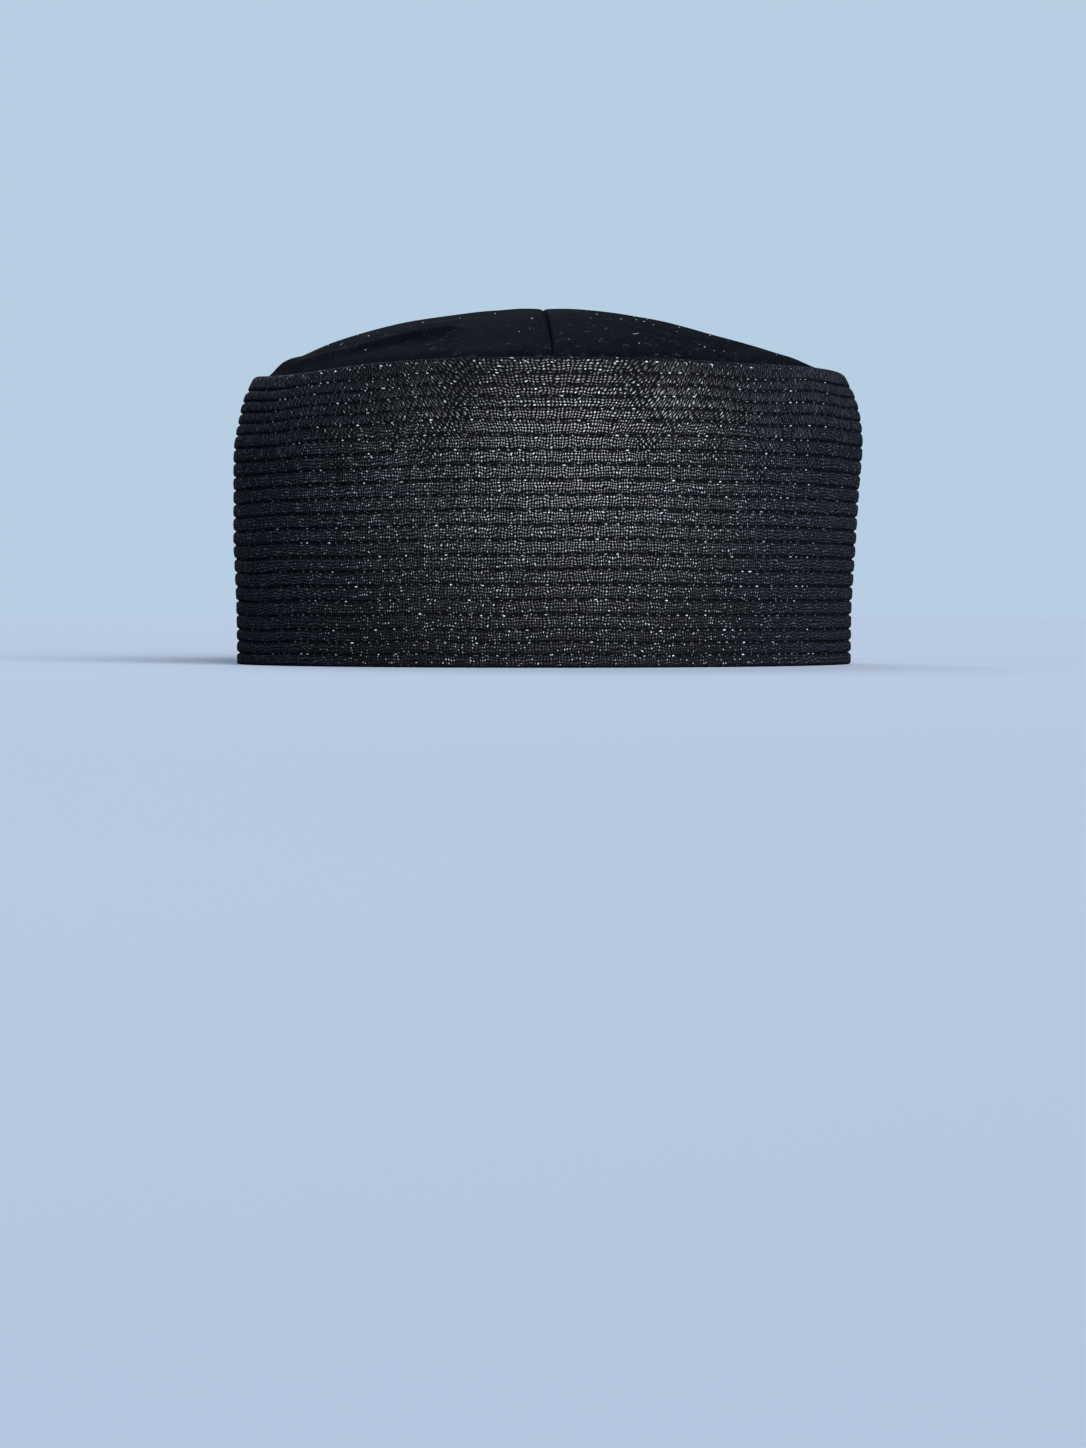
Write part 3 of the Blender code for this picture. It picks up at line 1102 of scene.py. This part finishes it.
@dataclass
class Strands:
    """Many short threads on a surface, as copies of one closed thread in a single mesh.

    Attributes:
        centre: The middle of each thread.
        along: The direction of each.
        up: The direction off the surface at each.
        length: The length of each.
        radius: The radius of each.
        sag: How far the ends of each lie below its middle.
        sides: Sides of a thread.
        rings: Rings along a thread, its two ends counted in.
    """

    centre: np.ndarray
    along: np.ndarray
    up: np.ndarray
    length: np.ndarray
    radius: np.ndarray
    sag: np.ndarray
    sides: int = 6
    rings: int = 4

    def lay(self, name: str, material: bpy.types.Material) -> bpy.types.Object:
        """Makes the threads.

        Args:
            name: The object's name.
            material: What the threads are made of.

        Returns:
            The threads.
        """
        mesh = bmesh.new()
        bmesh.ops.create_uvsphere(mesh, u_segments=self.sides, v_segments=self.rings, radius=1.0)
        bmesh.ops.recalc_face_normals(mesh, faces=mesh.faces)
        one = finished(name, mesh, material)
        x, y, run = points_of(one).T
        faces = [tuple(polygon.vertices) for polygon in one.data.polygons]
        bpy.data.objects.remove(one)
        along = unit(self.along)
        up = unit(self.up - along * np.sum(self.up * along, axis=1, keepdims=True))
        points = (
            self.centre[:, None]
            + along[:, None] * (run * self.length[:, None] / 2)[..., None]
            + np.cross(up, along)[:, None] * (x * self.radius[:, None])[..., None]
            + up[:, None] * (y * self.radius[:, None] - self.sag[:, None] * run**2)[..., None]
        )
        starts = range(0, points.shape[0] * points.shape[1], points.shape[1])
        copies = [tuple(corner + start for corner in face) for start in starts for face in faces]
        data = bpy.data.meshes.new(name)
        data.from_pydata(points.reshape(-1, 3).tolist(), [], copies)
        return dressed(name, data, material)


@dataclass
class StitchRows:
    """The sewn rows round the band, one thread for each stitch.

    Attributes:
        form: The cap's form.
        edge_row: Height share of the row that holds the top edge.
        seen: How long the part of a stitch is that shows.
        seen_shares: Least and most of that length which a stitch has.
        thread: The thread's radius.
        thread_shares: Least and most of that radius which a stitch has.
        arch: How far a stitch's ends dip into the cloth.
        lift: Lowest and highest place of a stitch over the cloth, in millimetres.
        spacing_error: How unevenly the stitches follow each other, as a share of a stitch.
        tilt: How far they tilt.
        sunk: How much deeper they lie at the band's sides, in millimetres.
        sunk_from: Sines of the azimuth at which they begin to lie deeper, and at which they lie so fully.
        end_azimuth: Where the last thread's loose end hangs, in degrees.
        end_height: Height share of that end.
        end_length: How long it is.
        seed: Picks how the stitches vary.
    """

    form: CapForm
    edge_row: float = 0.986
    seen: float = 0.95 * MM
    seen_shares: tuple[float, float] = (0.7, 1.5)
    thread: float = 0.22 * MM
    thread_shares: tuple[float, float] = (0.85, 1.1)
    arch: float = 0.18 * MM
    lift: tuple[float, float] = (-0.22, 0.32)
    spacing_error: float = 0.05
    tilt: float = 0.10
    sunk: float = 0.30
    sunk_from: tuple[float, float] = (0.72, 0.92)
    end_azimuth: float = -62.6
    end_height: float = 0.745
    end_length: float = 3.6 * MM
    seed: int = 5

    def build(self, material: bpy.types.Material) -> bpy.types.Object:
        """Sews every row.

        Args:
            material: The thread.

        Returns:
            The stitches.
        """
        form = self.form
        chance = np.random.default_rng(self.seed)
        rows = np.append(form.grooves()[1:-1], self.edge_row)
        shift = chance.random((len(rows), 1))
        error = chance.normal(0, self.spacing_error, (len(rows), STITCHES_PER_ROW))
        turns = (np.arange(STITCHES_PER_ROW)[None, :] + shift + error) / STITCHES_PER_ROW
        azimuth = np.append((turns * math.tau).ravel() - math.pi, math.radians(self.end_azimuth))
        height = np.append(np.repeat(rows, STITCHES_PER_ROW), self.end_height)
        inset = form.relief(height, azimuth)
        step = 1e-3
        strayed = form.wandered(height, azimuth)
        centre = form.band_point(inset, strayed, azimuth)
        ahead = form.band_point(inset, form.wandered(height, azimuth + step), azimuth + step) - centre
        up = unit(np.cross(ahead, form.band_point(inset, strayed + step, azimuth) - centre))
        count = len(height)
        along = unit(ahead)
        along[:, 2] += chance.normal(0, self.tilt, count)
        along[-1] = (0.0, 0.0, 1.0)
        length = self.seen * chance.uniform(*self.seen_shares, count)
        length[-1] = self.end_length
        sunk = np.interp(np.abs(np.sin(azimuth)), self.sunk_from, (0.0, self.sunk))
        raised = up * ((chance.uniform(*self.lift, count) - sunk)[:, None] * MM)
        radius = self.thread * chance.uniform(*self.thread_shares, count)
        strands = Strands(centre + raised, along, up, length, radius, sag=np.full(count, self.arch))
        return strands.lay("row_stitches", material)


@dataclass
class CrownGore:
    """One gore of the crown, from its seams at both sides to the tuck inside the band.

    Attributes:
        form: The cap's form.
        gore: Which gore it is.
        columns: Columns of faces across the gore.
        rows: Rows of faces from the middle of the crown to its edge.
        tuck_rows: Rows of faces down the tuck.
        crowding: How closely the columns crowd at the seams, from 0 to 1.
        wrinkle: The cloth's wrinkles.
        wrinkle_height: How high they are.
        seam_gap: Between the gore and the next one.
        seam_depth: How far the cloth turns down into a seam.
        seam_width: Within what distance it turns down.
        roll_depth: How far the cloth sinks on its way to the seam.
        roll_width: Within what distance it sinks.
        calm: Within what distance of the crown's middle the seams are shallow.
        calm_share: How much shallower they are at the middle.
    """

    form: CapForm
    gore: Gore
    columns: int = 112
    rows: int = 70
    tuck_rows: int = 6
    crowding: float = 0.88
    wrinkle: Unevenness = Unevenness(seed=47, round_counts=(3, 14), up_counts=(0.5, 2.5))
    wrinkle_height: float = 0.22 * MM
    seam_gap: float = 0.01 * MM
    seam_depth: float = 1.30 * MM
    seam_width: float = 0.45 * MM
    roll_depth: float = 0.40 * MM
    roll_width: float = 3.5 * MM
    calm: float = 30 * MM
    calm_share: float = 0.8

    def build(self, material: bpy.types.Material) -> bpy.types.Object:
        """Cuts a flat sector, raises it to the crown's form and gives it the cloth's thickness.

        Args:
            material: The crown's cloth.

        Returns:
            The gore.
        """
        begin = self.gore.first_seam
        quarter = math.pi / 2
        seam = self.radii()[:, None] * np.array((math.sin(begin), -math.cos(begin), 0.0))
        mesh = bmesh.new()
        vertices = [mesh.verts.new(point) for point in seam]
        edges = [mesh.edges.new(pair) for pair in zip(vertices, vertices[1:])]
        bmesh.ops.spin(
            mesh, geom=vertices + edges, axis=(0, 0, 1), cent=(0, 0, 0), angle=quarter, steps=self.columns
        )
        bmesh.ops.remove_doubles(mesh, verts=mesh.verts, dist=0.01 * MM)
        face_up(mesh)
        gore = finished(self.gore.node.replace("gore", "crown"), mesh, material)
        x, y, _ = points_of(gore).T
        radius = np.hypot(x, y)
        turn = np.where(radius > 0.1 * MM, np.arctan2(x, -y) - begin, quarter / 2)
        share = np.clip(np.remainder(turn + 0.1, math.tau) - 0.1, 0, quarter) / quarter
        crowded = share - self.crowding * np.sin(math.tau * share) / math.tau
        place_points(gore, self.raised(radius, begin + quarter * np.clip(crowded, 1e-6, 1 - 1e-6)))
        thickness = gore.modifiers.new("cloth thickness", "SOLIDIFY")
        thickness.thickness = self.form.crown_cloth
        thickness.offset = -1.0
        thickness.use_even_offset = True
        return gore

    def radii(self) -> np.ndarray:
        """Radius shares of the gore's rows, from the crown's middle to the foot of its tuck."""
        dome = np.sin(np.linspace(0, math.pi / 2, self.rows + 1))
        return np.append(dome, 1.0 + np.arange(1, self.tuck_rows + 1) / self.tuck_rows)

    def raised(self, radius: np.ndarray, azimuth: np.ndarray) -> np.ndarray:
        """Raises places of the flat sector to the crown's outside.

        Args:
            radius: Radius shares, where more than 1 is down the tuck.
            azimuth: Angles round the cap.

        Returns:
            One row of X, Y and Z for each place.
        """
        form = self.form
        inset = np.full(radius.shape, form.wall + form.seat_gap)
        down = np.clip(radius - 1, 0, None) * form.tuck / form.band_height
        edge = form.band_point(inset, 1 - down, azimuth)
        on_top = np.minimum(radius, 1.0)
        points = edge * np.stack((on_top, on_top, np.ones(len(on_top))), axis=-1)
        wrinkles = self.wrinkle_height * self.wrinkle.at(azimuth, on_top) * on_top
        crown = form.band_height - form.edge_drop(azimuth) * on_top**8 + self.rise(on_top, azimuth)
        crown += (1 - on_top**12) * (self.folds(points) + wrinkles - self.seam(points))
        points[:, 2] = np.where(radius > 1, edge[:, 2], crown)
        half = self.seam_gap / 2
        sign = np.sign(np.stack((np.sin(azimuth), -np.cos(azimuth)), axis=-1))
        points[:, :2] = sign * (half + np.abs(points[:, :2]) * (1 - half / form.half_width))
        points[:, 0] += self.sway(points)
        return points

    def sway(self, points: np.ndarray) -> np.ndarray:
        """How far the cloth, and its front and back seams with it, has strayed sideways at each place."""
        across = np.clip(np.abs(points[:, 0]) / self.form.half_width, 0, 1)
        return (1 - across**2) ** 2 * np.interp(points[:, 1] / self.form.half_length, SEAM_PLACES, SEAM_SWAY)

    def rise(self, radius: np.ndarray, azimuth: np.ndarray) -> np.ndarray:
        """The crown's height over the band's top edge, before its folds and seams."""
        across, along = read_sides(CROWN_MERIDIANS, radius, azimuth)
        return self.form.crown_rise * (np.sin(azimuth) ** 2 * across + np.cos(azimuth) ** 2 * along)

    def folds(self, points: np.ndarray) -> np.ndarray:
        """How far the folds and dents raise the crown.

        Args:
            points: Places, one row each.

        Returns:
            The height that they add at each place.
        """
        total = np.zeros(len(points))
        place = points[:, :2]
        for fold in CROWN_FOLDS:
            turns, shares = np.array(fold.line).T
            turns = np.radians(turns)
            edge = self.form.band_point(np.full(len(turns), self.form.wall), np.ones(len(turns)), turns)
            knots = edge[:, :2] * shares[:, None]
            nearest = np.full(len(points), np.inf)
            for start, end in zip(knots, knots[1:]):
                run = end - start
                t = np.clip((place - start) @ run / (run @ run), 0, 1)
                nearest = np.minimum(nearest, np.linalg.norm(place - start - t[:, None] * run, axis=1))
            total += fold.lift * MM * bell(nearest, fold.width * MM)
        return total

    def seam(self, points: np.ndarray) -> np.ndarray:
        """How far the cloth turns down into the nearest seam.

        Args:
            points: Places, one row each.

        Returns:
            How far it turns down at each place.
        """
        nearest = np.minimum(np.abs(points[:, 0]), np.abs(points[:, 1]))
        turned = self.seam_depth * np.exp(-nearest / self.seam_width)
        rolled = self.roll_depth * bell(nearest, self.roll_width)
        middle = np.linalg.norm(points[:, :2], axis=1)
        return (turned + rolled) * (1 - self.calm_share * bell(middle, self.calm))


@dataclass
class LooseLint:
    """Bits of lint on the crown.

    Attributes:
        form: The cap's form.
        count: How many there are.
        radii: Least and most square of the radius share at which they lie.
        longest: Length that the shares below are of.
        length_shares: Least and most share of it, before small ones are favoured.
        radius: Half a bit's thickness.
        sag: How far its ends lie below its middle.
        lift: How high it lies over the cloth.
        off_seams: How far a bit that would fall on a seam is moved round the cap.
        fibre_azimuth: Where the one curled fibre lies, in degrees.
        fibre_share: Radius share of that fibre.
        fibre_length: How wide it curls.
        fibre_radius: Half its thickness.
        fibre_curl: Share of that width by which it curls.
        seed: Picks where the rest lie.
    """

    form: CapForm
    count: int = 95
    radii: tuple[float, float] = (0.02, 0.9)
    longest: float = 1.8 * MM
    length_shares: tuple[float, float] = (0.15, 0.5)
    radius: float = 0.10 * MM
    sag: float = 0.02 * MM
    lift: float = 0.05 * MM
    off_seams: float = 0.05
    fibre_azimuth: float = 21.5
    fibre_share: float = 0.78
    fibre_length: float = 2.4 * MM
    fibre_radius: float = 0.06 * MM
    fibre_curl: float = 0.6
    seed: int = 9

    def build(self, material: bpy.types.Material) -> bpy.types.Object:
        """Scatters the lint.

        Args:
            material: What the lint is.

        Returns:
            The lint.
        """
        chance = np.random.default_rng(self.seed)
        azimuth = chance.uniform(-math.pi, math.pi, self.count)
        is_on_seam = np.abs(np.sin(2 * azimuth)) < 0.03
        azimuth = np.where(is_on_seam, azimuth + self.off_seams, azimuth)
        azimuth[-1] = math.radians(self.fibre_azimuth)
        share = np.sqrt(chance.uniform(*self.radii, self.count))
        share[-1] = self.fibre_share
        gore = CrownGore(self.form, Gore.FRONT_RIGHT)
        step = 2e-3
        centre = gore.raised(share, azimuth)
        outward = gore.raised(share + step, azimuth) - centre
        up = unit(np.cross(outward, gore.raised(share, azimuth + step) - centre))
        up *= np.sign(up[:, 2:3])
        turn = chance.uniform(0, math.pi, self.count)
        along = np.stack((np.cos(turn), np.sin(turn), np.zeros(self.count)), axis=-1)
        length = self.longest * chance.uniform(*self.length_shares, self.count) ** 1.3
        sag = np.full(self.count, self.sag)
        radius = np.full(self.count, self.radius)
        centre += up * self.lift
        along[-1] = (1.0, 0.0, 0.0)
        up[-1] = np.cross(along[-1], up[-1])
        length[-1] = self.fibre_length
        sag[-1] = self.fibre_curl * self.fibre_length
        radius[-1] = self.fibre_radius
        return Strands(centre, along, up, length, radius, sag, sides=5, rings=6).lay("loose_lint", material)


@dataclass(frozen=True)
class Lamp:
    """A far, soft lamp that lights the cap and the floor evenly.

    Attributes:
        name: The lamp's name.
        azimuth: Where it stands round the cap, in degrees from the front.
        elevation: How high it stands, in degrees over the floor.
        strength: What reaches a surface that faces it, in watts a square metre.
        spread: How wide it looks from the cap, in degrees.
        colour: Its colour.
    """

    name: str
    azimuth: float
    elevation: float
    strength: float
    spread: float
    colour: str

    def hang(self) -> None:
        """Adds the lamp to the scene."""
        light = bpy.data.lights.new(self.name, "SUN")
        light.energy = self.strength
        light.angle = math.radians(self.spread)
        light.color = linear(self.colour)[:3]
        turn = math.radians(self.azimuth)
        rise = math.radians(self.elevation)
        place = Vector((math.sin(turn) * math.cos(rise), -math.cos(turn) * math.cos(rise), math.sin(rise)))
        obj = linked(self.name, light)
        obj.location = place * 2
        obj.rotation_euler = (-place).to_track_quat("-Z", "Y").to_euler()


@dataclass(frozen=True)
class Studio:
    """The camera, the lamps, the pale room and the paper that the cap stands on.

    Attributes:
        distance: From the camera to the cap's middle.
        eye_height: The camera's height over the paper.
        lens: Focal length, for a sensor 36 mm long.
        pitch_degrees: How far the camera looks down.
        turn_degrees: How far the camera is turned to its left, which sets the cap right of the middle.
        paper_radius: How far the paper reaches.
        lamps: The lamps.
        room_colour: The colour of the pale backdrop.
        room_light: How much of the backdrop's brightness the room gives as light.
    """

    distance: float = 1.260
    eye_height: float = 0.0147
    lens: float = 109.7
    pitch_degrees: float = 1.454
    turn_degrees: float = 0.065
    paper_radius: float = 12.0
    lamps: tuple[Lamp, ...] = (
        Lamp("key", azimuth=19.0, elevation=27.0, strength=9.0, spread=48.0, colour="#F8F8FF"),
        Lamp("back", azimuth=190.0, elevation=35.0, strength=1.6, spread=30.0, colour="#E6EEFF"),
    )
    room_colour: str = "#B8CFE3"
    room_light: float = 0.22

    def add_camera(self) -> None:
        """Stands the camera at the photograph's angle, but just above the paper."""
        camera = bpy.data.cameras.new("camera")
        camera.lens = self.lens
        camera.sensor_width = 36.0
        camera.clip_start = 0.01
        camera.clip_end = 30.0
        obj = linked("camera", camera)
        obj.location = (0.0, -self.distance, self.eye_height)
        obj.rotation_euler = (math.radians(90 - self.pitch_degrees), 0.0, math.radians(self.turn_degrees))
        bpy.context.scene.camera = obj

    def light(self) -> None:
        """Hangs the lamps, and makes a room that looks pale and gives little light of its own."""
        for lamp in self.lamps:
            lamp.hang()
        world = bpy.data.worlds.new("pale_room")
        world.use_nodes = True
        tree = world.node_tree
        seen = add_node(tree, "ShaderNodeLightPath", {}, {})
        brightness = {"Value": seen.outputs["Is Camera Ray"], "To Min": self.room_light, "To Max": 1.0}
        strength = add_node(tree, "ShaderNodeMapRange", {}, brightness)
        room = tree.nodes["Background"]
        room.inputs["Color"].default_value = linear(self.room_colour)
        tree.links.new(strength.outputs[0], room.inputs["Strength"])
        bpy.context.scene.world = world
        bpy.context.scene.view_settings.view_transform = "Standard"

    def lay_paper(self, material: bpy.types.Material) -> None:
        """Lays the paper as a wide round floor.

        Args:
            material: The paper.
        """
        mesh = bmesh.new()
        bmesh.ops.create_circle(mesh, cap_ends=True, segments=96, radius=self.paper_radius)
        face_up(mesh)
        finished("paper_floor", mesh, material)


@dataclass
class KufiCap:
    """The whole cap.

    Attributes:
        form: The cap's form.
    """

    form: CapForm

    def build_band(self) -> None:
        """Builds the band and its rows of stitches."""
        band = StitchedBand(self.form).build(BandCotton().material(self.form))
        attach(band, "root")
        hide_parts("stitched_band")
        LOG.info("band_cloth: %d faces", len(band.data.polygons))
        stitches = StitchRows(self.form).build(SEWING_THREAD.material())
        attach(stitches, "root")
        LOG.info("row_stitches: %d faces", len(stitches.data.polygons))

    def build_crown(self) -> None:
        """Builds the four gores and the lint on them."""
        cloth = CrownCotton().material()
        for which in Gore:
            gore = CrownGore(self.form, which).build(cloth)
            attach(gore, "root")
            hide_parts(which.node)
        lint = LooseLint(self.form).build(LINT.material())
        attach(lint, "root")
        LOG.info("loose_lint: %d faces", len(lint.data.polygons))


def main() -> None:
    """Builds the cap and the studio round it."""
    logging.basicConfig(level=logging.INFO, format="%(name)s: %(message)s")
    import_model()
    cap = KufiCap(CapForm.from_frame())
    cap.build_band()
    cap.build_crown()
    studio = Studio()
    studio.add_camera()
    studio.light()
    studio.lay_paper(PAPER.material())


if __name__ == "__main__":
    main()
